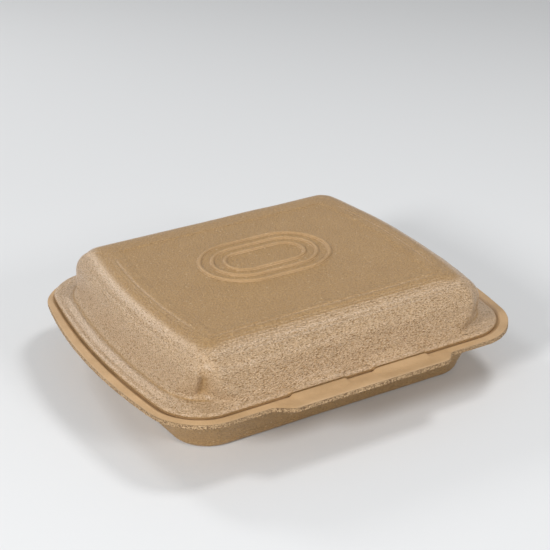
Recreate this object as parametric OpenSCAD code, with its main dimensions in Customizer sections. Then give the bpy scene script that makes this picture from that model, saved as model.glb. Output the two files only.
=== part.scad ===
// A one-piece hinged box of thin foam sheet, for a carried meal.
// The tray and the lid are two formed shells that share one fold along the back.
// X runs along the long side, the closing lip faces -Y and the fold lies at +Y.
// The origin is the middle of the flat that the tray stands on.

/* [Sheet] */
// Thickness of the foam sheet
sheet = 2.6; // [2.2:0.1:3]
// Thickness left where the sheet is pressed thin for the fold
fold_sheet = 1.3; // [0.9:0.1:1.6]
// Gap between the lid's flange and the tray's ledge
rest_gap = 0.3; // [0.2:0.1:0.4]

/* [Tray] */
// Length of the tray over its rim, along X
tray_length = 240; // [234:1:252]
// Depth of the tray over its rim, from the front edge to the fold
tray_depth = 203; // [198:1:212]
// Height of the ledge that carries the lid
ledge_height = 31.8; // [31.6:0.1:35]
// How far the rim stands above the ledge
rim_rise = 1.4; // [0.8:0.1:2]
// Width of the rim around the lid
rim_width = 6.3; // [5:0.1:7.5]
// Radius of the rim's corners
rim_radius = 28; // [22:1:32]
// How far the rim's short sides swell outwards
rim_bow = 13; // [8:0.5:15]
// Length of the flat underside, along X
floor_length = 182; // [174:1:188]
// Depth of the flat underside, along Y
floor_depth = 142; // [134:1:148]
// Radius of the floor's corners
floor_radius = 17; // [10:1:22]
// How far the floor's short sides swell outwards
floor_bow = 4; // [0:0.5:6]
// Radius between the floor and the walls
bottom_round = 4; // [3:0.5:5]

/* [Closing lip] */
// How far the lip stands out in front of the rim
lip_reach = 9.4; // [6:0.2:11]
// How much higher the lip's edge lies than the rim
lip_lift = 1.9; // [0:0.1:2.5]
// Length of the lip where it leaves the rim
lip_length = 116; // [100:1:118]
// Length of each curved end of the lip
lip_blend = 11; // [8:1:14]
// Distance of each tongue's middle from the box's middle
tongue_offset = 26; // [22:0.5:27]
// Width of a tongue
tongue_width = 34; // [24:1:36]
// Depth of a tongue below the lid's flange
tongue_drop = 8; // [6:0.5:10]
// Clearance between a tongue and its slot
tongue_gap = 0.5; // [0.4:0.1:0.7]

/* [Lid] */
// Height of the closed box up to the flat top panel
closed_height = 63.1; // [60:0.1:63.1]
// Gap between the lid's edge and the tray's rim
lid_gap = 0.8; // [0.6:0.1:1]
// Radius of the corners of the lid's flange
lid_radius = 24; // [20:1:28]
// How far the flange's short sides swell outwards
lid_bow = 10; // [7:0.5:11]
// Width of the lid's flange along the short sides
flange_side = 10.4; // [9:0.1:12]
// Width of the lid's flange along the front
flange_front = 3.6; // [3:0.1:5]
// Width of the lid's flange along the fold
flange_back = 9; // [8:0.5:12]
// Radius of the lid's corners where the walls leave the flange
foot_radius = 40; // [30:1:43]
// Length of the flat top panel, along X
panel_length = 159; // [152:1:162]
// Depth of the flat top panel, along Y
panel_depth = 129.5; // [124:0.5:131]
// Radius of the panel's corners
panel_radius = 4; // [3:1:8]
// How far the panel's short sides swell outwards
panel_bow = 6; // [3:0.5:8]
// Width of the rounded shoulder on the short sides
shoulder_side = 19.5; // [17:0.5:20]
// Width of the rounded shoulder in front and behind
shoulder_front = 22.5; // [20:0.5:23.5]
// Height of the rounded shoulder
shoulder_drop = 14.6; // [12:0.2:16]

/* [Compartments] */
// Height of the dividers above the floor
divider_height = 19; // [14:1:21]
// Width of a divider halfway up
divider_width = 11; // [10:0.5:14]
// Width that the foot of a divider adds where it spreads into the floor
divider_flare = 11; // [6:1:14]
// Distance of the long divider behind the box's middle
divider_back = 12; // [11:1:20]

/* [Lid relief] */
// Height of the raised lines on the top panel
line_height = 0.7; // [0.4:0.1:0.8]
// Width of a raised line
line_width = 2.6; // [2:0.2:3]
// Spacing of the raised lines
line_pitch = 7.5; // [6.5:0.5:8]
// Length of the outermost raised line, along X
relief_length = 80; // [72:1:90]
// Depth of the outermost raised line, along Y
relief_depth = 54; // [50:1:60]
// Distance of the relief's middle behind the panel's middle
relief_back = 8; // [0:1:12]

/* [Hidden] */
foam = [0.76, 0.60, 0.42];

// Levels of the rim and the ledge
rim_top = ledge_height + rim_rise;
ledge_under = ledge_height - sheet;
flange_under = ledge_height + rest_gap;
flange_top = flange_under + sheet;

// The fold's axis lies midway between the ledge and the flange's underside
fold_y = tray_depth / 2;
fold_z = ledge_height + rest_gap / 2;
fold_inset = 0.15;
fold_length = tray_length - 2 * (rim_radius + rim_bow);
back_edge = fold_y - fold_inset;

// The rim's rise fades out between these two distances towards the fold
rise_fades_from = 0.62 * fold_y;
rise_fades_to = 0.92 * fold_y;

// Steps along each corner and side of an outline
corner_steps = 8;
side_steps = 8;
lip_stations = 5;
middle_stations = 7;

function smooth(t) = let (u = min(1, max(0, t))) u * u * (3 - 2 * u);
function mix(a, b, t) = a + (b - a) * t;

// How much of the rim's rise is left at y: all of it in front, none at the fold
function rise_share(y) = 1 - smooth((y - rise_fades_from) / (rise_fades_to - rise_fades_from));

// How far the lip reaches out at x
function lip_at(x) = lip_reach * smooth((lip_length / 2 - abs(x)) / lip_blend);

// Stations along the front: close together at the lip's ends, wide apart between them.
// They are shares of the straight front between two corners, measured on the rim.
rim_straight = (tray_length / 2 - rim_radius) * (1 - 2 * rim_bow / tray_length);
lip_inner = (lip_length / 2 - lip_blend) / rim_straight;
lip_outer = lip_length / 2 / rim_straight;
end_shares = [for (i = [0 : lip_stations - 1]) mix(lip_inner, lip_outer, i / (lip_stations - 1))];
front_shares = concat(
    [for (i = [lip_stations - 1 : -1 : 0]) -end_shares[i]],
    [for (i = [1 : middle_stations]) mix(-lip_inner, lip_inner, i / (middle_stations + 1))],
    end_shares);

// An outline's shape is [side, front, back, radius, bow]: its reach each way from the middle,
// the radius of its corners and how far its short sides swell outwards.
function grown(shape, by) = [shape[0] + by, shape[1] + by, shape[2] + by, max(1, shape[3] + by), shape[4]];

function arc(cx, cy, r, start) =
    [for (i = [0 : corner_steps])
        let (a = start + 90 * i / corner_steps)
        [cx + r * cos(a), cy + r * sin(a)]];

// Points of a plain rounded rectangle, anticlockwise from the left end of the front
function rounded(side, front, back, r) = concat(
    [for (share = front_shares) [share * (side - r), -front]],
    arc(side - r, r - front, r, -90),
    [for (i = [1 : side_steps - 1]) [side, mix(r - front, back - r, i / side_steps)]],
    arc(side - r, back - r, r, 0),
    [for (i = [1 : side_steps - 1]) [mix(side - r, r - side, i / side_steps), back]],
    arc(r - side, back - r, r, 90),
    [for (i = [1 : side_steps - 1]) [-side, mix(back - r, r - front, i / side_steps)]],
    arc(r - side, r - front, r, 180));

// The same outline with its ends drawn in, which leaves the short sides swollen
function outline(shape) =
    [for (p = rounded(shape[0], shape[1], shape[2], shape[3]))
        let (v = (2 * p[1] + shape[1] - shape[2]) / (shape[1] + shape[2]))
        [p[0] * (1 - shape[4] / shape[0] * v * v), p[1]]];

function ring(shape, z) = [for (p = outline(shape)) [p[0], p[1], z]];

// A closed skin over a stack of rings that all have the same number of points
module skin(rings) {
    n = len(rings[0]);
    last = len(rings) - 1;
    polyhedron(
        points = [for (r = rings) each r],
        faces = concat(
            [[for (i = [0 : n - 1]) i]],
            [for (k = [0 : last - 1], i = [0 : n - 1])
                [k * n + i, (k + 1) * n + i, k * n + (i + 1) % n]],
            [for (k = [0 : last - 1], i = [0 : n - 1])
                [(k + 1) * n + i, (k + 1) * n + (i + 1) % n, k * n + (i + 1) % n]],
            [[for (i = [n - 1 : -1 : 0]) last * n + i]]),
        convexity = 6);
}

// Shapes of the tray, from the floor out to the rim
floor_shape = [floor_length / 2, floor_depth / 2, floor_depth / 2, floor_radius, floor_bow];
tray_foot = grown(floor_shape, bottom_round);
rim_shape = [tray_length / 2, fold_y, back_edge, rim_radius, rim_bow];
ledge_rim = [tray_length / 2 - rim_width, fold_y - rim_width, back_edge - 3, lid_radius + lid_gap, lid_bow];
ledge_edge = [ledge_rim[0] - 9, ledge_rim[1] - 7, back_edge - 10, lid_radius, lid_bow];
wall_sheet = 1.12 * sheet;
rim_chamfer = 1.2;

// The tray's outer wall at height z, and its inner wall one sheet further in
function wall_shape(z) = mix(tray_foot, ledge_edge, (z - bottom_round) / (ledge_under - bottom_round));
function inner_shape(z) = grown(wall_shape(z), -wall_sheet);

// The rim's cut edge, with the lip in front and the thin edge of the fold behind
function rim_edge(under) =
    [for (p = outline(rim_shape))
        let (
            share = rise_share(p[1]),
            lip = p[1] < 0.01 - fold_y ? lip_at(p[0]) : 0,
            top = ledge_height + rim_rise * share + lip_lift * lip / lip_reach)
        [p[0], p[1] - lip, under ? top - mix(fold_sheet, sheet, share) : top]];

// A ring that follows the rim's rise, set in from the rim's edge
function rim_ring(shape, base) =
    [for (p = outline(shape)) [p[0], p[1], base + rim_rise * rise_share(p[1])]];

function tray_outside() = concat(
    [for (a = [0, 30, 60])
        ring(grown(floor_shape, bottom_round * sin(a)), bottom_round * (1 - cos(a)))],
    [for (z = [bottom_round, mix(bottom_round, ledge_under, 0.5), ledge_under - 2])
        ring(wall_shape(z), z)],
    [ring(grown(wall_shape(ledge_under - 0.6), 0.4), ledge_under - 0.6)],
    [ring(grown(ledge_edge, 1.6), ledge_under)],
    [ring(mix(ledge_edge, ledge_rim, 0.85), ledge_under)],
    [rim_ring(mix(ledge_rim, rim_shape, 0.3), ledge_under)],
    [rim_edge(true)],
    [rim_edge(false)],
    [rim_ring(grown(ledge_rim, rim_chamfer), ledge_height)],
    [ring(ledge_rim, ledge_height)],
    [ring(mix(ledge_edge, ledge_rim, 0.5), ledge_height)]);

function tray_inside() = let (floor_top = sheet + bottom_round) concat(
    [for (a = [0, 30, 60])
        ring(grown(inner_shape(floor_top), -bottom_round * (1 - sin(a))), floor_top - bottom_round * cos(a))],
    [for (z = [floor_top, mix(floor_top, ledge_height, 0.5), ledge_height - 2])
        ring(inner_shape(z), z)],
    [ring(grown(inner_shape(ledge_height), 0.3), ledge_height - 0.7)],
    [ring(grown(inner_shape(ledge_height), 1.6), ledge_height + 0.6)]);

// Width of a divider at a share t of its height: spread at the foot, rounded on top
function divider_at(t, width, flare) =
    width * mix(1.15, 0.85, t) * sqrt(max(0.04, 1 - max(0, (t - 0.8) / 0.2) ^ 2)) + flare * (1 - t) ^ 5;

// A thin round-ended slice of a bar that runs from one end to the other along X
module bar_slice(from, to, width, z) {
    translate([0, 0, z])
        linear_extrude(height = 0.01)
            hull()
                for (x = [from, to])
                    translate([x, 0])
                        circle(d = width, $fn = 24);
}

// A divider built up from slices, each drawn over to the next
module ridge(from, to, width, flare, base, height) {
    shares = [0, 0.08, 0.22, 0.5, 0.8, 0.93, 1];
    for (i = [0 : len(shares) - 2])
        hull() {
            bar_slice(from, to, divider_at(shares[i], width, flare), base + height * shares[i]);
            bar_slice(from, to, divider_at(shares[i + 1], width, flare), base + height * shares[i + 1]);
        }
}

// The long divider and the short one behind it, which part the tray into three
module dividers(width, flare, base, height, side_reach, back_reach) {
    translate([0, divider_back, 0])
        ridge(-side_reach, side_reach, width, flare, base, height);
    rotate([0, 0, 90])
        ridge(divider_back, back_reach, width, flare, base, height);
}

// A tongue below the lid's flange, or with clearance the slot that takes it
tongue_front = ledge_rim[1] - lid_gap - 0.2;

module tongue(clearance, low, high) {
    round = 4;
    half = tongue_width / 2 + clearance;
    for (side = [-1, 1])
        translate([side * tongue_offset, -tongue_front - clearance, 0])
            hull() {
                for (x = [round - half, half - round])
                    translate([x, 0, low + round])
                        rotate([-90, 0, 0])
                            cylinder(r = round, h = sheet + 2 * clearance, $fn = 24);
                translate([-half, 0, high - 1])
                    cube([2 * half, sheet + 2 * clearance, 1]);
            }
}

module tray() {
    color(foam)
    difference() {
        skin(tray_outside());
        difference() {
            skin(tray_inside());
            dividers(divider_width, divider_flare, sheet - 0.05, divider_height,
                tray_length / 2, tray_depth / 2);
        }
        dividers(divider_width - 2 * sheet + 1, divider_flare - 1, -0.05, divider_height + 0.05,
            floor_length / 2 - 9, floor_depth / 2 - 9);
        tongue(tongue_gap, ledge_under - 6, rim_top + 6);
    }
}

// Shapes of the lid, from the edge of its flange up to the top panel
lid_edge = [ledge_rim[0] - lid_gap, ledge_rim[1] - lid_gap, back_edge, lid_radius, lid_bow];
lid_foot = [
    lid_edge[0] - flange_side, lid_edge[1] - flange_front, back_edge - flange_back,
    foot_radius, lid_bow];
panel_shape = [panel_length / 2, panel_depth / 2, panel_depth / 2, panel_radius, panel_bow];
shoulder_shape = panel_shape + [shoulder_side, shoulder_front, shoulder_front, shoulder_side, 2];
shoulder_z = closed_height - shoulder_drop;

// The shoulder turns from the flat panel at 0 degrees down to the wall at 90 degrees
function shoulder_ring(a, inner) =
    ring(grown(mix(panel_shape, shoulder_shape, sin(a)), -inner * sin(a)),
        closed_height - shoulder_drop * (1 - cos(a)) - inner * cos(a));

// The lid's wall at height z, between the flange and the shoulder
function lid_wall(z, inset) =
    ring(grown(mix(lid_foot, shoulder_shape, (z - flange_top) / (shoulder_z - flange_top)), -inset), z);

// The flange's edge, pressed thin along the fold
function flange_edge() =
    [for (p = outline(lid_edge))
        let (top = p[1] > back_edge - 0.01 ? flange_under + fold_sheet : flange_top)
        [p[0], p[1], top]];

function lid_rings() = concat(
    [for (a = [0, 22, 44, 66, 84]) shoulder_ring(a, sheet)],
    [for (z = [mix(flange_top, shoulder_z, 0.5), flange_top - 0.5]) lid_wall(z, sheet)],
    [ring(grown(lid_foot, 1.2 - sheet), flange_under)],
    [ring(mix(lid_foot, lid_edge, 0.6), flange_under)],
    [ring(lid_edge, flange_under)],
    [flange_edge()],
    [ring(grown(lid_edge, -2), flange_top)],
    [ring(grown(lid_foot, 0.8), flange_top)],
    [for (z = [flange_top + 1, mix(flange_top, shoulder_z, 0.5)]) lid_wall(z, 0)],
    [for (a = [84, 66, 50, 36, 22, 10, 0]) shoulder_ring(a, 0)]);

// A round-ended oval plate with leaning sides, wider at one face than at the other
module oval_plate(length, depth, low_grow, high_grow, low, high) {
    hull()
        for (side = [-1, 1])
            translate([side * (length - depth) / 2, 0, low])
                cylinder(r1 = depth / 2 + low_grow, r2 = depth / 2 + high_grow, h = high - low, $fn = 64);
}

// One raised line: an oval plate with a smaller one taken out of it
module raised_line(length, depth) {
    half = line_width / 2;
    translate([0, relief_back, closed_height])
        difference() {
            oval_plate(length, depth, half, half / 2, -0.4, line_height);
            oval_plate(length, depth, -half - 0.6, -half / 2 + 0.2, -1, line_height + 0.4);
        }
}

module lid() {
    color(foam) {
        skin(lid_rings());
        tongue(0, flange_under - tongue_drop, flange_under + 1);
        for (k = [0 : 2])
            raised_line(relief_length - 2 * k * line_pitch, relief_depth - 2 * k * line_pitch);
    }
}

// The fold: a thin U of pressed sheet between the two back edges
module hinge_fold() {
    inner = rest_gap / 2;
    outer = inner + fold_sheet;
    turns = [for (i = [0 : 12]) -90 + 15 * i];
    section = concat(
        [[back_edge, -outer]],
        [for (a = turns) [fold_y + outer * cos(a), outer * sin(a)]],
        [[back_edge + 0.05, outer], [back_edge + 0.05, inner]],
        [for (a = turns) [fold_y + inner * cos(a), -inner * sin(a)]],
        [[back_edge, -inner]]);
    color(foam)
    translate([-fold_length / 2, 0, fold_z])
        rotate([90, 0, 90])
            linear_extrude(height = fold_length)
                polygon(section);
}

tray();
lid();
hinge_fold();
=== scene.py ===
# %% [markdown]
# # A closed meal box of pressed foam
#
# The box is one sheet of foamed plastic, warmed and pressed into a tray, a lid and a thin fold that
# joins them. This script dresses the three solids of the frame: it makes each one again, with a
# finer surface. The box's sizes are in millimetres, and MM turns them into Blender's metres.

# %% The frame
import math
from types import SimpleNamespace

import bmesh
import bpy
import numpy as np
from mathutils import Matrix, Vector


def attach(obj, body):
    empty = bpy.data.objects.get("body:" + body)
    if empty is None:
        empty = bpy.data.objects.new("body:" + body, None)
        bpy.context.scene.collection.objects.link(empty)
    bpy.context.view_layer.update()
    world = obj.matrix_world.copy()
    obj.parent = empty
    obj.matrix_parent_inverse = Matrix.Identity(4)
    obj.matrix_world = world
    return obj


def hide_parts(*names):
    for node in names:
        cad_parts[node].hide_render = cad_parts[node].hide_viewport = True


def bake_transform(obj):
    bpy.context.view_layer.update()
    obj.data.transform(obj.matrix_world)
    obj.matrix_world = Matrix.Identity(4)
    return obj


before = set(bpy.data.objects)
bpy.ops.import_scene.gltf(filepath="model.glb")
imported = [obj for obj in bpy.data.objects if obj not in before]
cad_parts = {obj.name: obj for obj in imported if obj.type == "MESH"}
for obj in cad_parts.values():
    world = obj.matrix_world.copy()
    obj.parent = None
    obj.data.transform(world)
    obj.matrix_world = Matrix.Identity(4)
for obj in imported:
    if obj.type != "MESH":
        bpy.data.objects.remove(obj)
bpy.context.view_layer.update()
MM = 0.001

# %% [markdown]
# ## Sizes
#
# A pressed box is all rings: at each height the wall is a rounded rectangle whose short sides swell
# outwards. So a shape is five numbers: its reach to the side, to the front and to the back, the
# radius of its corners, and the swell. Shapes can be added and mixed, and everything else follows.
# The sizes in these two cells belong to the solids too, so each new mesh lies where its solid lies.

# %% Sizes of the sheet, the tray, the lip and the lid
SHEET, FOLD_SHEET, REST_GAP, FOLD_INSET = 2.6, 1.3, 0.3, 0.15
TRAY_LENGTH, TRAY_DEPTH, LEDGE, BOTTOM_ROUND = 240, 203, 31.8, 4
RIM_RISE, RIM_WIDTH, RIM_RADIUS, RIM_SWELL = 1.4, 6.3, 28, 13
LIP_REACH, LIP_LIFT, LIP_LENGTH, LIP_BLEND = 9.4, 1.9, 116, 11
TONGUE_OFFSET, TONGUE_WIDTH, TONGUE_DROP, TONGUE_GAP = 26, 34, 8, 0.5
CLOSED_HEIGHT, LID_GAP, LID_RADIUS, LID_SWELL = 63.1, 0.8, 24, 10
FLANGE_SIDE, FLANGE_FRONT, FLANGE_BACK, FOOT_RADIUS = 10.4, 3.6, 9, 40
SHOULDER_SIDE, SHOULDER_FRONT, SHOULDER_DROP, SHOULDER_SWELL = 19.5, 22.5, 14.6, 2
LEDGE_SIDE, LEDGE_FRONT, LEDGE_BACK, STEP_BACK = 9, 7, 10, 3

FOLD_Y = TRAY_DEPTH / 2
FOLD_Z = LEDGE + REST_GAP / 2
BACK_EDGE = FOLD_Y - FOLD_INSET
FLANGE_UNDER = LEDGE + REST_GAP
FLANGE_TOP = FLANGE_UNDER + SHEET
LEDGE_UNDER = LEDGE - SHEET
SHOULDER_Z = CLOSED_HEIGHT - SHOULDER_DROP
print("fold at", FOLD_Y, FOLD_Z, "mm; the lid's flange lies at", round(FLANGE_TOP, 2), "mm")

# %% Shapes: side, front, back, corner radius, swell
def shape(side, front, back, radius, swell):
    return np.array([side, front, back, radius, swell], float)


def grown(base, by):
    """The same shape with its wall moved outwards by a distance."""
    return base + np.array([by, by, by, by, 0.0])


def mix(a, b, t):
    """The value a share t of the way from a to b."""
    return a + (b - a) * t


def smooth(t):
    """0 below 0, 1 above 1, and smooth between them."""
    t = np.clip(t, 0, 1)
    return t * t * (3 - 2 * t)


FLOOR = shape(91, 71, 71, 17, 4)
RIM = shape(TRAY_LENGTH / 2, FOLD_Y, BACK_EDGE, RIM_RADIUS, RIM_SWELL)
LEDGE_RIM = shape(
    RIM[0] - RIM_WIDTH, FOLD_Y - RIM_WIDTH, BACK_EDGE - STEP_BACK, LID_RADIUS + LID_GAP, LID_SWELL)
LEDGE_EDGE = shape(
    LEDGE_RIM[0] - LEDGE_SIDE, LEDGE_RIM[1] - LEDGE_FRONT, BACK_EDGE - LEDGE_BACK, LID_RADIUS, LID_SWELL)
LID_EDGE = shape(LEDGE_RIM[0] - LID_GAP, LEDGE_RIM[1] - LID_GAP, BACK_EDGE, LID_RADIUS, LID_SWELL)
LID_FOOT = shape(
    LID_EDGE[0] - FLANGE_SIDE, LID_EDGE[1] - FLANGE_FRONT, BACK_EDGE - FLANGE_BACK, FOOT_RADIUS, LID_SWELL)
PANEL = shape(79.5, 64.75, 64.75, 4, 6)
SHOULDER = PANEL + shape(SHOULDER_SIDE, SHOULDER_FRONT, SHOULDER_FRONT, SHOULDER_SIDE, SHOULDER_SWELL)
print("lid", LID_EDGE[0] * 2, "mm long, panel", PANEL[0] * 2, "mm long")

# %% [markdown]
# ## Rings and patches
#
# A ring needs the same number of points at every height, so that each joins the next. The flat
# inside a ring, the top panel or the floor, could be one polygon, but a polygon can't carry pressed
# lines or dividers. A Coons patch fills it with small four-sided faces that follow the ring's edge.

# %% Points around a ring
LONG_STEPS, SHORT_STEPS, CORNER_STEPS = 120, 96, 26
AROUND = 2 * LONG_STEPS + 2 * SHORT_STEPS + 4 * CORNER_STEPS
LEAST_RADIUS = 0.6


def outline(form):
    """Points of one ring, anticlockwise from the left end of the front."""
    side, front, back, radius, swell = form
    radius = max(radius, LEAST_RADIUS)
    steps = np.linspace(0, 1, LONG_STEPS, endpoint=False)
    rises = np.linspace(0, 1, SHORT_STEPS, endpoint=False)
    turns = np.radians(np.linspace(0, 90, CORNER_STEPS, endpoint=False))

    def corner(x, y, start):
        return np.c_[x + radius * np.cos(turns + start), y + radius * np.sin(turns + start)]

    inner = side - radius
    points = np.vstack([
        np.c_[mix(-inner, inner, steps), np.full(LONG_STEPS, -front)],
        corner(inner, radius - front, -np.pi / 2),
        np.c_[np.full(SHORT_STEPS, side), mix(radius - front, back - radius, rises)],
        corner(inner, back - radius, 0),
        np.c_[mix(inner, -inner, steps), np.full(LONG_STEPS, back)],
        corner(-inner, back - radius, np.pi / 2),
        np.c_[np.full(SHORT_STEPS, -side), mix(back - radius, radius - front, rises)],
        corner(-inner, radius - front, np.pi),
    ])
    depth = (2 * points[:, 1] + front - back) / (front + back)
    points[:, 0] *= 1 - swell / side * depth**2
    return points


def ring(form, z):
    """The points of a shape at a height."""
    return np.c_[outline(form), np.broadcast_to(z, AROUND)]


print("points around each ring:", AROUND, "from", outline(RIM)[0], "on the rim")

# %% A patch inside a ring
def patch(loop):
    """Inner points of a Coons patch inside a ring, and the index grid that joins them to it."""
    across, along = LONG_STEPS + CORNER_STEPS, SHORT_STEPS + CORNER_STEPS
    order = np.roll(np.arange(AROUND), CORNER_STEPS // 2)
    front = order[: across + 1]
    right = order[across : across + along + 1]
    back = order[across + along : 2 * across + along + 1][::-1]
    left = np.append(order[2 * across + along :], order[0])[::-1]
    u = np.linspace(0, 1, across + 1)[:, None, None]
    v = np.linspace(0, 1, along + 1)[None, :, None]
    corners = (
        (1 - u) * (1 - v) * loop[front[0]] + u * (1 - v) * loop[front[-1]]
        + (1 - u) * v * loop[back[0]] + u * v * loop[back[-1]]
    )
    grid = (
        (1 - v) * loop[front][:, None] + v * loop[back][:, None]
        + (1 - u) * loop[left][None] + u * loop[right][None] - corners
    )
    index = np.full((across + 1, along + 1), -1)
    index[:, 0], index[:, -1], index[0, :], index[-1, :] = front, back, left, right
    return grid, index


print("a patch has", patch(ring(PANEL, CLOSED_HEIGHT))[0].shape[:2], "points")

# %% A closed mesh over a stack of rings
def shell_mesh(name, rings, marks):
    """Join the rings, put a patch at each end, and keep each ring's values as point attributes."""
    stack = np.array(rings)
    count = len(stack)
    points = [stack.reshape(-1, 3)]
    values = {key: [np.repeat([m[key] for m in marks], AROUND)] for key in marks[0]}
    total = count * AROUND
    low = np.arange(count - 1)[:, None] * AROUND + np.arange(AROUND)[None]
    right = np.arange(count - 1)[:, None] * AROUND + (np.arange(AROUND)[None] + 1) % AROUND
    quads = [np.stack([low, right, right + AROUND, low + AROUND], -1).reshape(-1, 4)]
    for end, first in ((0, 0), (count - 1, (count - 1) * AROUND)):
        grid, index = patch(stack[end])
        index = np.where(index >= 0, index + first, -1)
        new = index < 0
        index[new] = total + np.arange(new.sum())
        total += new.sum()
        points.append(grid[new])
        for key in values:
            values[key].append(np.full(new.sum(), marks[end][key]))
        cells = np.stack([index[:-1, :-1], index[1:, :-1], index[1:, 1:], index[:-1, 1:]], -1)
        cells = cells.reshape(-1, 4)
        quads.append(cells if end else cells[:, ::-1])
    points = np.vstack(points)
    quads = np.vstack(quads)
    a, b, c, d = (points[quads[:, i]] for i in range(4))
    volume = (a * np.cross(b, c)).sum() + (a * np.cross(c, d)).sum()
    if volume < 0:
        quads = quads[:, ::-1]
    joined = {key: np.concatenate(parts) for key, parts in values.items()}
    return build_mesh(name, points, quads.tolist(), joined)


def build_mesh(name, points, faces, values):
    """A mesh object in metres from points in millimetres, with its point attributes."""
    mesh = bpy.data.meshes.new(name)
    mesh.from_pydata((points * MM).tolist(), [], faces)
    for key, numbers in values.items():
        attribute = mesh.attributes.new(key, "FLOAT", "POINT")
        attribute.data.foreach_set("value", numbers.astype(np.float32))
    mesh.update()
    mesh.shade_smooth()
    piece = bpy.data.objects.new(name, mesh)
    bpy.context.scene.collection.objects.link(piece)
    print(name, len(mesh.vertices), "points,", len(mesh.polygons), "faces")
    return piece


# %% [markdown]
# ## Node trees as plain sums
#
# Materials and Geometry Nodes are both trees of small nodes. Two helpers keep them short: one adds a
# node with its settings and inputs, the other wraps a number's socket so that + - * / build nodes.

# %% A small helper for node trees
class Tree:
    """Adds nodes by type: settings are set first, then values and links by the sockets' names."""

    def __init__(self, tree):
        self.tree = tree

    def add(self, kind, settings=None, inputs=None):
        node = self.tree.nodes.new(kind)
        for key, value in (settings or {}).items():
            setattr(node, key, value)
        for key, value in (inputs or {}).items():
            self.feed(node.inputs[key], value)
        return node

    def feed(self, socket, value):
        if isinstance(value, bpy.types.NodeSocket):
            self.tree.links.new(value, socket)
        elif isinstance(value, Term):
            self.tree.links.new(value.socket, socket)
        else:
            socket.default_value = value


class Term:
    """A number inside a node tree that works with the signs + - * / like a plain number."""

    def __init__(self, kit, socket):
        self.kit, self.socket = kit, socket

    def work(self, operation, *others, clamp=False):
        return self.sum_of(operation, (self, *others), clamp)

    def sum_of(self, operation, values, clamp=False):
        """A Math node on the values, in their order."""
        node = self.kit.add("ShaderNodeMath", {"operation": operation, "use_clamp": clamp})
        for socket, value in zip(node.inputs, values):
            self.kit.feed(socket, value)
        return Term(self.kit, node.outputs[0])

    def __add__(self, other):
        return self.work("ADD", other)

    def __sub__(self, other):
        return self.work("SUBTRACT", other)

    def __mul__(self, other):
        return self.work("MULTIPLY", other)

    def __truediv__(self, other):
        return self.work("DIVIDE", other)

    def __rsub__(self, other):
        return self.sum_of("SUBTRACT", (other, self))

    def __rtruediv__(self, other):
        return self.sum_of("DIVIDE", (other, self))

    __radd__, __rmul__ = __add__, __mul__

    def least(self, other):
        return self.work("MINIMUM", other)

    def size(self):
        return self.work("ABSOLUTE")

    def step(self, low, high):
        """0 below low, 1 above high, smooth between them."""
        t = ((self - low) / (high - low)).work("ADD", 0.0, clamp=True)
        return t * t * (3 - 2 * t)


# %% Geometry trees
def geometry_tree(name, sizes):
    """An empty geometry tree with named number inputs, and a Term for each."""
    tree = bpy.data.node_groups.new(name, "GeometryNodeTree")
    tree.interface.new_socket("Geometry", in_out="INPUT", socket_type="NodeSocketGeometry")
    tree.interface.new_socket("Geometry", in_out="OUTPUT", socket_type="NodeSocketGeometry")
    for label, value in sizes.items():
        number = tree.interface.new_socket(label, in_out="INPUT", socket_type="NodeSocketFloat")
        number.default_value = value
    kit = Tree(tree)
    source = kit.add("NodeGroupInput")
    result = kit.add("NodeGroupOutput")
    terms = {label: Term(kit, source.outputs[label]) for label in sizes}
    return kit, source, result, terms


def run_tree(piece, tree, sizes, name):
    """Run a geometry tree on an object and keep the plain mesh that it makes."""
    modifier = piece.modifiers.new(tree.name, "NODES")
    modifier.node_group = tree
    for item in tree.interface.items_tree:
        if item.in_out == "INPUT" and item.name in sizes:
            modifier[item.identifier] = float(sizes[item.name])
    return plain_mesh(piece, name)


def plain_mesh(piece, name):
    """Turn an object with its modifiers into a plain mesh object, and remove the old one."""
    bpy.context.view_layer.update()
    evaluated = piece.evaluated_get(bpy.context.evaluated_depsgraph_get())
    mesh = bpy.data.meshes.new_from_object(evaluated)
    bpy.data.objects.remove(piece)
    result = bpy.data.objects.new(name, mesh)
    bpy.context.scene.collection.objects.link(result)
    return result


def finish_tree(kit, geometry, result, material):
    """End a tree: make what it repeats real, give it a material and hand it on."""
    real = kit.add("GeometryNodeRealizeInstances", None, {"Geometry": geometry})
    dressed = kit.add("GeometryNodeSetMaterial", None, {"Geometry": real.outputs[0], "Material": material})
    kit.tree.links.new(dressed.outputs[0], result.inputs[0])


# %% [markdown]
# ## The finish of the foam
#
# The box is tan foam with a faint sheen. Pressed areas keep the small cells of the sheet's skin, and
# light catches their tops. Where the sheet was cut the cells stand open, so the edge is rough and
# dull. One material does it all and reads the crepe, cut and sideways attributes of each point.
# The colour also paints shade into the pits of the cells and light onto their tops, paints the lit
# shoulders, walls and flange paler as painted highlight, and paints shade into the open cells of the cut
# edge.

# %% A kit for materials
RIPPLES_IN_A_CELL = 0.7


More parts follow.
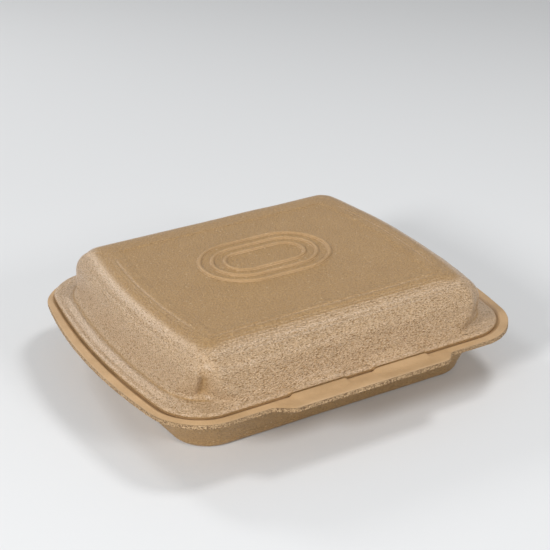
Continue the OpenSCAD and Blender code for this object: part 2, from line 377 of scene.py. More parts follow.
class Finish(Tree):
    """A material with one Principled shader, built from noises on the object's own coordinates."""

    def __init__(self, name, constants):
        self.material = bpy.data.materials.new(name)
        self.material.use_nodes = True
        super().__init__(self.material.node_tree)
        self.tree.nodes.clear()
        self.shader = self.add("ShaderNodeBsdfPrincipled", None, constants)
        self.add("ShaderNodeOutputMaterial", None, {"Surface": self.shader.outputs[0]})
        self.coordinates = self.add("ShaderNodeTexCoord").outputs["Object"]

    def place(self, stretch=(1, 1, 1)):
        mapping = self.add("ShaderNodeMapping", {"vector_type": "POINT"}, {
            "Vector": self.coordinates, "Scale": stretch})
        return mapping.outputs[0]

    def noise(self, cell, detail=2.0, stretch=(1, 1, 1), distortion=0.0):
        node = self.add("ShaderNodeTexNoise", None, {
            "Vector": self.place(stretch), "Scale": 1 / cell, "Detail": detail, "Distortion": distortion})
        return Term(self, node.outputs[0])

    def pebbles(self, cell, stretch, wobble):
        """Distance to the middle of the nearest cell, with the cells' outlines made uneven."""
        ripple = self.add("ShaderNodeTexNoise", None, {
            "Vector": self.coordinates, "Scale": RIPPLES_IN_A_CELL / cell, "Detail": 1.0})
        shift = self.add("ShaderNodeVectorMath", {"operation": "SCALE"}, {
            0: ripple.outputs["Color"], "Scale": wobble})
        moved = self.add("ShaderNodeVectorMath", {"operation": "ADD"}, {
            0: self.place(stretch), 1: shift.outputs[0]})
        node = self.add("ShaderNodeTexVoronoi", {"feature": "SMOOTH_F1"}, {
            "Vector": moved.outputs[0], "Scale": 1 / cell, "Smoothness": 0.6})
        return Term(self, node.outputs["Distance"])

    def share(self, name):
        node = self.add("ShaderNodeAttribute", {"attribute_type": "GEOMETRY", "attribute_name": name})
        return Term(self, node.outputs["Fac"])

    def blend(self, share, first, second):
        node = self.add("ShaderNodeMix", {"data_type": "RGBA", "clamp_factor": True}, {"Factor": share})
        self.feed(node.inputs[6], first)
        self.feed(node.inputs[7], second)
        return node.outputs[2]

    def relief(self, height):
        """Bump from a height in metres."""
        node = self.add("ShaderNodeBump", None, {"Height": height, "Strength": 1.0, "Distance": 1.0})
        self.feed(self.shader.inputs["Normal"], node.outputs[0])


# %% [markdown]
# ### Layers of the foam
#
# Long pebbles are the skin's cells, drawn out along the wall. Wrinkles run between them where the
# sheet was stretched, sand and grain are finer, and the mottle is a slow change of tone. The second
# group of values is shares of crepe: each effect begins at its first one and is full at its second,
# so the pressed areas flow into the smooth ones.

# %% Sizes of the layers, and the crepe that each one needs
PEBBLE, PEBBLE_STRETCH, PEBBLE_WOBBLE = 0.46, 0.42, 0.16
WRINKLE, SAND, GRAIN, OPEN_CELL, MOTTLE, SPOT_PITCH = 1.0, 0.62, 0.5, 0.7, 17, 5
WRINKLE_STRETCH, SAND_STRETCH, WRINKLE_TWIST = (0.3, 1, 1), (0.5, 0.8, 1), 0.4
SPOT_SIZE = (0.07, 0.14)

SKINNED, SPOTTED, PRESSED = (0.02, 0.3), (0.1, 0.25), (0.1, 0.3)
SHINY, STRETCHED_AND_LIT = (0.45, 0.7), (0.45, 0.8)


def foam_layers(kit):
    """The noises and the masks that the relief, the colour and the sheen share."""
    crepe = kit.share("crepe")
    long_cells = kit.pebbles(PEBBLE * MM, (PEBBLE_STRETCH, 1, 1), PEBBLE_WOBBLE * MM)
    side_cells = kit.pebbles(PEBBLE * MM, (1, PEBBLE_STRETCH, 1), PEBBLE_WOBBLE * MM)
    wrinkle = kit.noise(WRINKLE * MM, detail=1.0, stretch=WRINKLE_STRETCH, distortion=WRINKLE_TWIST)
    spots = kit.add("ShaderNodeTexVoronoi", {"feature": "F1"}, {
        "Vector": kit.place(), "Scale": 1 / (SPOT_PITCH * MM)})
    spot = 1 - Term(kit, spots.outputs["Distance"]).step(*SPOT_SIZE)
    return SimpleNamespace(
        crepe=crepe,
        cut=kit.share("cut"),
        pressed=crepe.step(*PRESSED),
        stretched_and_lit=crepe.step(*STRETCHED_AND_LIT),
        shiny=crepe.step(*SHINY),
        bare=1 - crepe.step(*SKINNED),
        cells=long_cells + (side_cells - long_cells) * kit.share("sideways"),
        wrinkle=(wrinkle - 0.5).size(),
        sand=kit.noise(SAND * MM, detail=1.0, stretch=SAND_STRETCH),
        grain=kit.noise(GRAIN * MM),
        open_cells=kit.noise(OPEN_CELL * MM, detail=3.0),
        mottle=kit.noise(MOTTLE * MM),
        spot=spot * crepe.step(*SPOTTED),
    )


print("pebbles", PEBBLE, "mm wide and", round(PEBBLE / PEBBLE_STRETCH, 2), "mm long")

# %% Relief
PEBBLE_HEIGHT, WRINKLE_HEIGHT, SAND_HEIGHT = 1.0, 0.45, 0.45
GRAIN_HEIGHT, OPEN_HEIGHT, SPOT_HEIGHT = 0.08, 1.1, 0.12


def foam_relief(layers):
    """The height of the skin in metres."""
    pebbles = (0.5 - layers.cells) * (PEBBLE_HEIGHT * MM)
    wrinkles = layers.wrinkle * layers.stretched_and_lit * (WRINKLE_HEIGHT * MM)
    height = layers.crepe * (pebbles + wrinkles) + layers.grain * (GRAIN_HEIGHT * MM)
    height = height + layers.sand * layers.pressed * (SAND_HEIGHT * MM)
    height = height + layers.cut * layers.open_cells * (OPEN_HEIGHT * MM)
    return height + layers.spot * (SPOT_HEIGHT * MM)


print("open cells of the cut edge are up to", OPEN_HEIGHT, "mm deep")

# %% Colours
def colour(red, green, blue):
    return (red, green, blue, 1.0)


# The darkest tan is painted shade in the pits of the pebbles and the sand, and also the darker random tone
# of bare foam; the next is painted light on their tops.
PIT_SHADE_AND_DARK_TAN = colour(0.27, 0.155, 0.06)
LIT_TOP_TAN = colour(0.46, 0.285, 0.12)
LIT_STRETCHED_TAN = colour(0.76, 0.555, 0.375)
SMOOTH_TAN = colour(0.55, 0.36, 0.19)
CUT_PIT_SHADE = colour(0.15, 0.085, 0.038)
SPECK = colour(0.66, 0.5, 0.31)
PEBBLE_MIDDLE, PEBBLE_EDGE = 0.42, 0.9
PEBBLE_SHADING, MOTTLE_TONE, GRAIN_TONE, SAND_SHADING = 1.2, 0.3, 0.3, 1.7
BARE_TONE, BARE_GRAIN = 0.25, 0.8
LIT_STRETCHED_SHARE, SPOT_SHARE, PALE_SHARE, PIT_SHADE_SHARE = 0.9, 0.5, 0.5, 0.9
PALE_CELLS, SHADED_CELLS = (0.5, 0.66), (0.42, 0.54)


def foam_colour(kit, layers):
    """Tan with painted shade in the cells' pits and painted light on their tops, paler where the crepe is
    strong (partly the stretched skin's own tone, partly painted highlight on the lit shoulders, walls and
    flange), plain where it is bare, and with paler grains and painted shade in the pits where cut.
    """
    # The tone follows the height of the pebbles and the sand: painted shade in their pits and painted light
    # on their tops, with a random mottle.
    tone = 0.5 + (PEBBLE_MIDDLE - layers.cells) * layers.crepe * PEBBLE_SHADING
    tone = tone + (layers.mottle - 0.5) * MOTTLE_TONE + (layers.grain - 0.5) * GRAIN_TONE
    tan = kit.blend(tone + (layers.sand - 0.5) * SAND_SHADING, PIT_SHADE_AND_DARK_TAN, LIT_TOP_TAN)
    # Paler tan over the pebbles' tops where the crepe is strong: partly the stretched skin's own tone,
    # partly painted highlight on the lit shoulder band, walls and flange.
    tops = PEBBLE_EDGE - layers.cells + (layers.sand - 0.5)
    tan = kit.blend(tops * layers.stretched_and_lit * LIT_STRETCHED_SHARE, tan, LIT_STRETCHED_TAN)
    bare_tone = (layers.mottle + BARE_TONE) + (layers.grain - 0.5) * BARE_GRAIN
    tan = kit.blend(layers.bare, tan, kit.blend(bare_tone, PIT_SHADE_AND_DARK_TAN, SMOOTH_TAN))
    tan = kit.blend(layers.spot * SPOT_SHARE, tan, SPECK)
    # Where cut, the raised grains are paler and the low ones near-black: the dark is painted shade in the
    # pits of the open cells.
    tan = kit.blend(layers.cut * layers.open_cells.step(*PALE_CELLS) * PALE_SHARE, tan, SPECK)
    dark = 1 - layers.open_cells.step(*SHADED_CELLS)
    return kit.blend(layers.cut * dark * PIT_SHADE_SHARE, tan, CUT_PIT_SHADE)


print("tan from", PIT_SHADE_AND_DARK_TAN[:3], "in the pits to", LIT_TOP_TAN[:3], "on top")

# %% The foam, and the foam of the fold
COAT_MOST, CUT_DULLER, GRAIN_DULLER, CREPE_SMOOTHER = 0.7, 0.3, 0.2, 0.18


def foam_finish(name, roughness):
    """The foam's material, with its relief, colour, sheen and roughness."""
    kit = Finish(name, {"IOR": 1.5, "Specular IOR Level": 0.4, "Coat Roughness": 0.36, "Coat IOR": 1.5})
    layers = foam_layers(kit)
    duller = layers.cut * CUT_DULLER + (layers.grain - 0.5) * GRAIN_DULLER
    kit.relief(foam_relief(layers))
    kit.feed(kit.shader.inputs["Base Color"], foam_colour(kit, layers))
    kit.feed(kit.shader.inputs["Coat Weight"], layers.shiny * (PEBBLE_EDGE - layers.cells) * COAT_MOST)
    kit.feed(kit.shader.inputs["Roughness"], roughness + duller - layers.crepe * CREPE_SMOOTHER)
    return kit.material


foam = foam_finish("foam", roughness=0.45)
pressed_foam = foam_finish("pressed_foam", roughness=0.5)
print("foam:", len(foam.node_tree.nodes), "nodes")

# %% [markdown]
# ## The tray's skin
#
# The tray is drawn as one continuous line from the middle of its underside, out and up its leaning
# wall, round the cut edge of the rim and back down the inside to the floor. Each step of the line is
# one ring. The lip is the front of the rim drawn out, and the rim sinks towards the fold behind.

# %% How strongly the sheet is pressed
def skin(crepe, cut=0.0):
    """The attributes of a ring's points: how strong the crepe is, and whether it is a cut edge."""
    return {"crepe": crepe, "cut": cut}


SMOOTH, WALL, CUT = skin(0.0), skin(0.5), skin(0.0, 1.0)
print("crepe of the walls:", WALL["crepe"])

# %% The leaning wall
WALL_SLANT = 1.12


def wall_shape(z):
    """The shape of the tray's leaning wall at a height."""
    return mix(grown(FLOOR, BOTTOM_ROUND), LEDGE_EDGE, (z - BOTTOM_ROUND) / (LEDGE_UNDER - BOTTOM_ROUND))


def inner_shape(z):
    """The same inside the sheet, which measures more across a leaning wall than square to it."""
    return grown(wall_shape(z), -WALL_SLANT * SHEET)


print("wall halfway up:", wall_shape(LEDGE / 2).round(1))

# %% The rim and its lip
RISE_FADES_FROM, RISE_FADES_OVER = 0.62, 0.30
TONGUE_BLEND, TONGUE_ROOT, TONGUE_RAMP = 2.4, 6, 4
STEP_LEAN, SLOT_SET_BACK, MEETING_GAP = 1.2, 0.9, 0.05
LIP_RAMP, MEETING_RAMP = 1.15, 0.9


def lip_share(points):
    """How far each point of the rim belongs to the lip: 0 outside it, 1 along its middle."""
    ends = smooth((LIP_LENGTH / 2 - np.abs(points[:, 0])) / LIP_BLEND)
    return ends * smooth((-points[:, 1] - FOLD_Y + RIM_WIDTH) / RIM_WIDTH)


def rise_share(y):
    """How much of the rim's rise is left: all of it in front, none at the fold."""
    return 1 - smooth((y / FOLD_Y - RISE_FADES_FROM) / RISE_FADES_OVER)


def tongue_share(points):
    """1 along each tongue on the lid's front edge, 0 elsewhere."""
    beside = np.abs(np.abs(points[:, 0]) - TONGUE_OFFSET)
    along = smooth(((TONGUE_WIDTH + TONGUE_BLEND) / 2 - beside) / TONGUE_BLEND)
    return along * smooth((-points[:, 1] - LID_EDGE[1] + TONGUE_ROOT) / TONGUE_RAMP)


def rim_line(out, down=0.0, drop=0.0):
    """A ring on the rim's top or under it. out runs from the ledge's step (0) to the cut edge (1)
    and down through the sheet (0 to 1). In front of a tongue the rim rises to meet the flange."""
    points = outline(mix(grown(LEDGE_RIM, STEP_LEAN), RIM, out))
    lip = lip_share(outline(RIM))
    share = rise_share(points[:, 1])
    meeting = FLANGE_TOP - MEETING_GAP - LEDGE - RIM_RISE
    meeting = meeting * tongue_share(points) * (1 - smooth(out * MEETING_RAMP)) * (down == 0)
    height = LEDGE + RIM_RISE * share + np.maximum(LIP_LIFT * lip * smooth(out * LIP_RAMP), meeting)
    points[:, 1] -= LIP_REACH * lip * out
    return np.c_[points, height - down * mix(FOLD_SHEET, SHEET, share) - drop]


print("highest point of the lip:", round(rim_line(1.0)[:, 2].max(), 2), "mm")

# %% Rings of the underside and the outer wall
UNDER_BEND, UNDER_ROUND, SMOOTH_TURN = 2, 1.6, 0.6
tray_rings, tray_marks = [], []


def tray_ring(points, mark=WALL):
    tray_rings.append(points)
    tray_marks.append(mark)


for turn in np.radians(np.linspace(0, 90, 6)):
    bottom = grown(FLOOR, BOTTOM_ROUND * math.sin(turn))
    tray_ring(ring(bottom, BOTTOM_ROUND * (1 - math.cos(turn))), SMOOTH if turn < SMOOTH_TURN else WALL)
for z in np.linspace(BOTTOM_ROUND, LEDGE_UNDER - UNDER_BEND, 14)[1:]:
    tray_ring(ring(wall_shape(z), z))
for below, wider, mark in ((0.9, 0.2, WALL), (0.4, 0.7, SMOOTH)):
    tray_ring(ring(grown(wall_shape(LEDGE_UNDER - below), wider), LEDGE_UNDER - below), mark)
tray_ring(ring(grown(LEDGE_EDGE, UNDER_ROUND), LEDGE_UNDER), SMOOTH)
for t in (0.55, 0.9):
    tray_ring(ring(mix(LEDGE_EDGE, LEDGE_RIM, t), LEDGE_UNDER), SMOOTH)
print("rings from the underside to the ledge:", len(tray_rings))

# %% Rings of the rim, the ledge and the inside
STEP_ROUND, INNER_BEND = 0.15, 1.2
FLOOR_TOP = SHEET + BOTTOM_ROUND
for out in (0.2, 0.45, 0.7, 0.9):
    tray_ring(rim_line(out, down=1.0), SMOOTH)
for down in (1.0, 0.9, 0.7, 0.5, 0.3, 0.12):
    tray_ring(rim_line(1.0, down=down), CUT)
for out in (0.985, 0.9, 0.75, 0.6, 0.45, 0.3, 0.15, 0.04):
    tray_ring(rim_line(out), SMOOTH)
tray_ring(rim_line(0.0, drop=STEP_ROUND), SMOOTH)
for t in (0.35, 0.7):
    step = outline(grown(LEDGE_RIM, STEP_LEAN * (1 - t)))
    step[:, 1] += SLOT_SET_BACK * (1 - t) * tongue_share(step)
    tray_ring(np.c_[step, mix(rim_line(0.0)[:, 2], LEDGE, t)], SMOOTH)
for t in (1.0, 0.8, 0.6, 0.4):
    tray_ring(ring(mix(LEDGE_EDGE, LEDGE_RIM, t), LEDGE), SMOOTH)
for wider, below in ((1.3, 0.0), (0.5, 0.4)):
    tray_ring(ring(grown(inner_shape(LEDGE), wider), LEDGE - below), SMOOTH)
for z in np.linspace(LEDGE - INNER_BEND, FLOOR_TOP, 15):
    tray_ring(ring(inner_shape(z), z))
for turn in np.radians(np.linspace(90, 0, 6))[1:]:
    rounding = grown(inner_shape(FLOOR_TOP), BOTTOM_ROUND * (math.sin(turn) - 1))
    tray_ring(ring(rounding, FLOOR_TOP - BOTTOM_ROUND * math.cos(turn)))
tray = shell_mesh("tray_shell", tray_rings, tray_marks)

# %% [markdown]
# ## The lid's skin
#
# The lid is drawn in the same way, from the middle of its top panel down over the shoulder, the wall
# and the flange, round the flange's edge and back up the inside. The crepe grows as the shoulder
# turns down, because the press stretches the sheet most there.

# %% Shoulder and wall
PANEL_TURN, BAND_TURN, CORNER_RADIUS = 16, 44, 14.0


def cornered(form, radius):
    """The same shape with another corner radius."""
    side, front, back, _, swell = form
    return np.array([side, front, back, radius, swell])


def shoulder_ring(turn, inner=0.0):
    """A ring of the shoulder at a turn from the flat panel (0) to the wall (90 degrees)."""
    out, up = math.sin(turn), math.cos(turn)
    form = cornered(mix(PANEL, SHOULDER, out), mix(PANEL[3], CORNER_RADIUS, out**2))
    return ring(grown(form, -inner * out), CLOSED_HEIGHT - SHOULDER_DROP * (1 - up) - inner * up)


def lid_wall(z, inset=0.0):
    """A ring of the leaning wall between the flange and the shoulder."""
    rise = (z - FLANGE_TOP) / (SHOULDER_Z - FLANGE_TOP)
    form = cornered(mix(LID_FOOT, SHOULDER, rise), mix(LID_FOOT[3], CORNER_RADIUS, max(rise, 0) ** 0.5))
    return ring(grown(form, -inset), z)


print("shoulder from", SHOULDER_Z, "to", CLOSED_HEIGHT, "mm high")

# %% The rounded edge of the flange
EDGE_REACH, EDGE_DROP, EDGE_LEAN = 3.2, 1.5, 0.15
TONGUE_EDGE, TONGUE_SEAT, NEAR = 0.2, 0.1, 0.01
BACK_PRESS = np.where(outline(LID_EDGE)[:, 1] > BACK_EDGE - NEAR, SHEET - FOLD_SHEET, 0.0)


def flange_line(turn):
    """The flange's edge at a turn from its flat top (0) to its outermost line (90 degrees). Along
    the tongues it is square and reaches forward, and along the fold it is pressed thin."""
    points = outline(LID_EDGE)
    share = tongue_share(points)
    reach, drop = mix(EDGE_REACH, TONGUE_EDGE, share), mix(EDGE_DROP, TONGUE_EDGE, share)
    inner = outline(grown(LID_EDGE, -1))
    points = points + (inner - points) * (reach * (1 - math.sin(turn)))[:, None]
    points[:, 1] -= (LID_GAP - TONGUE_SEAT) * share
    return np.c_[points, FLANGE_TOP - np.maximum(drop * (1 - math.cos(turn)), BACK_PRESS * math.sin(turn))]


print("flange", round(FLANGE_TOP - FLANGE_UNDER, 2), "mm thick")

# %% Rings of the lid's outside
# The crepe also sets the colour: where it is high the tan is paler, partly as painted highlight on the lit
# shoulder, walls and flange, while the panel keeps the darker tan.
PANEL_CREPE, SHOULDER_CREPE, FLANGE_CREPE, INSIDE_CREPE, NO_CREPE = 0.44, 0.9, 0.8, 0.3, 0.0
WALL_START = 0.2
FLARE_RISE, FLARE_FRONT, FLARE_RAMP = 4.6, 74, 14
SIDE_FLARE, FRONT_FLARE = (2.0, 1.9), (0.5, 0.3)
lid_rings, lid_marks = [], []


def lid_ring(points, crepe):
    lid_rings.append(points)
    lid_marks.append(skin(crepe))


# Down the shoulder the crepe grows, and with it the paler tan, partly as painted highlight along the
# shoulder band.
for degrees in np.linspace(0, 84, 43):
    stretched_and_lit = smooth((degrees - PANEL_TURN) / (BAND_TURN - PANEL_TURN))
    lid_ring(shoulder_ring(math.radians(degrees)), mix(PANEL_CREPE, SHOULDER_CREPE, float(stretched_and_lit)))
for z in np.linspace(SHOULDER_Z + WALL_START, FLANGE_TOP + FLARE_RISE, 9)[1:]:
    lid_ring(lid_wall(z), SHOULDER_CREPE)
side_bend, front_bend = (
    ring(grown(LID_FOOT, wider), FLANGE_TOP + above) for wider, above in (SIDE_FLARE, FRONT_FLARE))
at_front = smooth((-front_bend[:, 1] - FLARE_FRONT) / FLARE_RAMP)[:, None]
flare_bend = mix(side_bend, front_bend, at_front)
for t in np.linspace(0, 1, 14)[1:]:
    flare = (1 - t) ** 2 * lid_wall(FLANGE_TOP + FLARE_RISE) + 2 * t * (1 - t) * flare_bend
    lid_ring(flare + t**2 * flange_line(0), FLANGE_CREPE)
for degrees in (12, 24, 36, 48, 60, 70):
    lid_ring(flange_line(math.radians(degrees)), FLANGE_CREPE)
for degrees in (80, 90):
    lid_ring(flange_line(math.radians(degrees)), WALL["crepe"])
print("rings of the lid's outside:", len(lid_rings))

# %% Rings of the flange's underside and the lid's inside
INNER_FOOT, INNER_START = 1.2, 0.5
for share in (0.5, 1.0):
    edge = flange_line(math.pi / 2)
    edge[:, 2] = mix(edge[:, 2], FLANGE_UNDER, share)
    edge[:, :2] += outline(grown(LID_EDGE, -EDGE_LEAN * share)) - outline(LID_EDGE)
    lid_ring(edge, NO_CREPE)
for t in (0.8, 0.5, 0.2):
    lid_ring(ring(mix(LID_FOOT, LID_EDGE, t), FLANGE_UNDER), NO_CREPE)
lid_ring(ring(grown(LID_FOOT, INNER_FOOT - SHEET), FLANGE_UNDER), NO_CREPE)
for z in np.linspace(FLANGE_TOP - INNER_START, SHOULDER_Z, 9):
    lid_ring(lid_wall(z, SHEET), INSIDE_CREPE)
for degrees in (80, 68, 56, 44, 32, 21, 10, 0):
    lid_ring(shoulder_ring(math.radians(degrees), SHEET), INSIDE_CREPE)
lid = shell_mesh("lid_shell", lid_rings, lid_marks)

# %% [markdown]
# ## Creases
#
# Warm foam doesn't bend smoothly: it wrinkles. Fine creases run beside the panel's edges and down
# the shoulder, the panel is pressed in a little, each corner has a dent where the sheet was gathered,
# and a line runs along the foot of the side walls. Each crease is a bell curve of the distance from
# the panel's edge, and the points move in along their normals by the depth that they all add up to.

# %% Distance from the panel's edge, down the lid's outside
PANEL_FACE, INSIDE_DISTANCE, OUTSIDE_DISTANCE = 0.1, 200.0, 60


def panel_edge(y):
    """How far to the side the panel reaches at each y."""
    return PANEL[0] * (1 - PANEL[4] / PANEL[0] * (y / PANEL[1]) ** 2)


def distance_down(x, y, z):
    """The distance of each point from the panel's edge, below 0 on the panel, measured down the
    middle of the front, and which points lie on the panel. Points inside the lid are far away."""
    middle = np.array([points[LONG_STEPS // 2] for points in lid_rings])
    profile = np.r_[0, np.cumsum(np.linalg.norm(np.diff(middle, axis=0), axis=1))]
    ring_points = len(lid_rings) * AROUND
    down = np.full(len(x), INSIDE_DISTANCE)
    down[:ring_points] = np.repeat(profile, AROUND)
    panel = (np.arange(len(x)) >= ring_points) & (z > CLOSED_HEIGHT - PANEL_FACE)
    down[panel] = -np.minimum(PANEL[1] - np.abs(y), panel_edge(y) - np.abs(x))[panel]
    return down, panel


print("the panel reaches", round(panel_edge(0), 1), "mm to the side in the middle")

# %% Creases beside the panel: each one's distance and depth
FRONT_CREASES = ((-3.5, 0.4), (0.5, 0.6), (5.5, 0.5), (8.2, 0.8), (10.4, 0.6), (16.0, 0.25), (18.6, 0.2))
SIDE_CREASES = ((1.2, 0.6), (4.0, 0.3), (18.5, 0.3))
FRONT_CREASE_WIDTH, SIDE_CREASE_WIDTH = 0.7, 0.84
FRONT_FROM, FRONT_ENDS, FRONT_RAMPS = 56, 78, (6, 14)
SIDE_FROM, SIDE_ENDS, SIDE_RAMPS = 60, 58, (10, 12)


def bell(distance, middle, width):
    """1 at the middle, falling to 0 on both sides of it."""
    return np.exp(-(((distance - middle) / width) ** 2))


def crease_depth(x, y, down):
    """How deep the creases in front and at the sides press each point."""
    in_front = smooth((-y - FRONT_FROM) / FRONT_RAMPS[0])
    in_front *= smooth((FRONT_ENDS - np.abs(x)) / FRONT_RAMPS[1])
    at_side = smooth((np.abs(x) - SIDE_FROM) / SIDE_RAMPS[0])
    at_side *= smooth((SIDE_ENDS - np.abs(y)) / SIDE_RAMPS[1])
    from_front = np.where(down < 0, -y - PANEL[1], down)
    from_side = np.where(down < 0, np.abs(x) - panel_edge(y), down)
    depth = np.zeros(len(x))
    for middle, deepest in FRONT_CREASES:
        depth += deepest * bell(from_front, middle, FRONT_CREASE_WIDTH) * in_front
    for middle, deepest in SIDE_CREASES:
        depth += deepest * bell(from_side, middle, SIDE_CREASE_WIDTH) * at_side
    return depth


print("creases in front:", len(FRONT_CREASES), "and at each side:", len(SIDE_CREASES))

# %% Dents in the corners
DENT_DEPTH, DENT_LOW, DENT_HIGH, DENT_RIGHT = 4.2, 37.0, 62.0, 0.3
RIDGE_LOW, RIDGE_HIGH, RIDGE_SLANT, RIDGE_WIDTH = (90.5, 76.0), (81.5, 68.0), 0.45, 2.6
DENT_FADE_LOW, DENT_FADE_HIGH = 17.0, 6.0
DENT_FROM, FROM_RAMP, FOOT_RAMP, TOP_RAMP, RIGHT_RAMP = 60, 6, 2.4, 16, 20
INNER_SHIFT = 0.7 * SHEET


def corner_dent(x, y, z, inner):
    """How far each point lies in a corner's dent. A ridge climbs each corner. On the front and the
    back the dent falls steeply beside it and fades towards the middle. The right-hand corners have
    shallower dents. Points of the sheet's inner face are moved out to find the same dent."""
    out_x, out_y = np.abs(x) + INNER_SHIFT * inner, np.abs(y) + INNER_SHIFT * inner
    rise = np.clip((z - DENT_LOW) / (DENT_HIGH - DENT_LOW), 0, 1)
    ridge_x, ridge_y = (mix(low, high, rise) for low, high in zip(RIDGE_LOW, RIDGE_HIGH))
    past_ridge = ridge_x - out_x + RIDGE_SLANT * (out_y - ridge_y)
    fade = (past_ridge - RIDGE_WIDTH) / mix(DENT_FADE_LOW, DENT_FADE_HIGH, rise)
    dent = smooth(past_ridge / RIDGE_WIDTH) * (1 - smooth(fade))
    dent *= smooth((z - DENT_LOW) / FOOT_RAMP) * smooth((DENT_HIGH - z) / TOP_RAMP)
    dent *= smooth((out_y - DENT_FROM) / FROM_RAMP)
    return dent * mix(1, DENT_RIGHT, smooth(x / RIGHT_RAMP))


print("dents from", DENT_LOW, "to", DENT_HIGH, "mm above the table")

# %% Press the creases and dents into the lid
PANEL_SUNK, PANEL_BORDER, SUNK_RAMP = 0.45, 5.0, 2
FOOT_HEIGHT, FOOT_WIDTH, FOOT_DEPTH, FOOT_FROM, FOOT_ENDS = FLANGE_TOP + 2.3, 0.45, 0.5, 78, 8
CREASE_PALE, DENT_CALM_AND_SHADE = 0.4, 0.4
FLANGE_SKIN, TONGUE_PLAIN_FROM, TONGUE_PLAIN_OVER = 0.2, 0.1, 0.3


def read_points(piece, collection, name):
    """One vector of each point of a mesh, as rows."""
    numbers = np.empty(len(piece.data.vertices) * 3)
    collection.foreach_get(name, numbers)
    return numbers.reshape(-1, 3)


def press_creases(piece):
    """Move the lid's points in, pale the crepe where it is creased, and calm it in the dents and along the
    foot line, which also darkens the tan there as painted shade.
    """
    points = read_points(piece, piece.data.vertices, "co") / MM
    normals = read_points(piece, piece.data.vertex_normals, "vector")
    x, y, z = points.T
    down, panel = distance_down(x, y, z)
    outside = down < OUTSIDE_DISTANCE
    inner = ~outside & (z > FLANGE_TOP)
    depth = crease_depth(x, y, down)
    strained = np.clip(depth * outside, 0, 1)
    depth += PANEL_SUNK * smooth((-down - PANEL_BORDER + SUNK_RAMP / 2) / SUNK_RAMP) * panel
    depth *= outside
    dent = corner_dent(x, y, z, inner)
    depth += DENT_DEPTH * dent * np.where(inner, -1, 1) * (outside | inner)
    foot = bell(z, FOOT_HEIGHT, FOOT_WIDTH) * smooth((np.abs(x) - FOOT_FROM) / FOOT_ENDS)
    foot *= outside * (z > FLANGE_TOP - FLANGE_SKIN)
    depth += FOOT_DEPTH * foot
    crepe = np.empty(len(x), np.float32)
    piece.data.attributes["crepe"].data.foreach_get("value", crepe)
    # Less crepe in the dents and along the foot line gives less texture and a darker tan there: painted
    # shade.
    crepe *= 1 - DENT_CALM_AND_SHADE * np.maximum(dent, foot)
    crepe = np.clip(crepe + CREASE_PALE * strained, 0, 1).astype(np.float32)
    crepe *= 1 - tongue_share(points) * smooth((FLANGE_TOP - TONGUE_PLAIN_FROM - z) / TONGUE_PLAIN_OVER)
    piece.data.attributes["crepe"].data.foreach_set("value", crepe)
    points -= normals * depth[:, None]
    piece.data.vertices.foreach_set("co", (points * MM).ravel())
    piece.data.update()
    print("deepest crease", round(float(depth.max()), 2), "mm")


press_creases(lid)

# %% [markdown]
# ## Crepe
#
# Foam sheet has a skin of small closed cells that the press stretches into pebbles and wrinkles. The
# larger ones are real relief: a Geometry Nodes tree pushes each point along its normal by a noise,
# stretched along the wall it lies on. A point attribute says how strong the crepe is on each part.

# %% Noises and attributes for the tree
def stretched_noise(kit, stretch, cell, seed):
    """Noise over the position, with its cells drawn out along one direction."""
    place = kit.add("GeometryNodeInputPosition").outputs[0]
    drawn = kit.add("ShaderNodeVectorMath", {"operation": "MULTIPLY"}, {0: place, 1: stretch}).outputs[0]
    noise = kit.add("ShaderNodeTexNoise", {"noise_dimensions": "4D"}, {
        "Vector": drawn, "Scale": 1 / cell, "W": seed, "Detail": 1.0, "Roughness": 0.5})
    return Term(kit, noise.outputs[0])


def named_share(kit, name):
    node = kit.add("GeometryNodeInputNamedAttribute", {"data_type": "FLOAT"}, {"Name": name})
    return Term(kit, node.outputs[0])


SIDE_FACING, SIDE_RAMP = 0.25, 0.3


def mark_sides(piece):
    """Mark with 1 the points that face along X, so that their crepe is drawn out along Y."""
    facing = np.abs(read_points(piece, piece.data.vertex_normals, "vector")[:, 0])
    sideways = smooth((facing - SIDE_FACING) / SIDE_RAMP)
    marks = piece.data.attributes.new("sideways", "FLOAT", "POINT")
    marks.data.foreach_set("value", sideways.astype(np.float32))
    print(piece.name, "has", int((sideways > 0.5).sum()), "points that face sideways")


for piece in (tray, lid):
    mark_sides(piece)

# %% The tree that raises the crepe
CREPE_SIZES = {"Cell": 1.8 * MM, "Height": 0.24 * MM, "Wave": 24 * MM, "Wave Height": 0.8 * MM,
               "Grain": 0.9 * MM, "Grain Height": 0.5 * MM}
CELL_STRETCH = 0.6
ALONG_X_SEED, ALONG_Y_SEED, WAVE_SEED, GRAIN_SEED = 3.0, 7.0, 11.0, 17.0

kit, source, result, size_of = geometry_tree("crepe", CREPE_SIZES)
along_x = stretched_noise(kit, (CELL_STRETCH, 1, 1), size_of["Cell"], ALONG_X_SEED)
along_y = stretched_noise(kit, (1, CELL_STRETCH, 1), size_of["Cell"], ALONG_Y_SEED)
waves = stretched_noise(kit, (1, 1, 1), size_of["Wave"], WAVE_SEED)
grains = stretched_noise(kit, (1, 1, 1), size_of["Grain"], GRAIN_SEED)
cells = along_x + (along_y - along_x) * named_share(kit, "sideways")
push = (cells - 0.5) * size_of["Height"] + (waves - 0.5) * size_of["Wave Height"]
push = named_share(kit, "crepe") * push
push = push + named_share(kit, "cut") * (grains - 0.5) * size_of["Grain Height"]
normal = kit.add("GeometryNodeInputNormal").outputs[0]
offset = kit.add("ShaderNodeVectorMath", {"operation": "SCALE"}, {0: normal, "Scale": push}).outputs[0]
moved = kit.add("GeometryNodeSetPosition", None, {"Geometry": source.outputs[0], "Offset": offset})
finish_tree(kit, moved.outputs[0], result, foam)

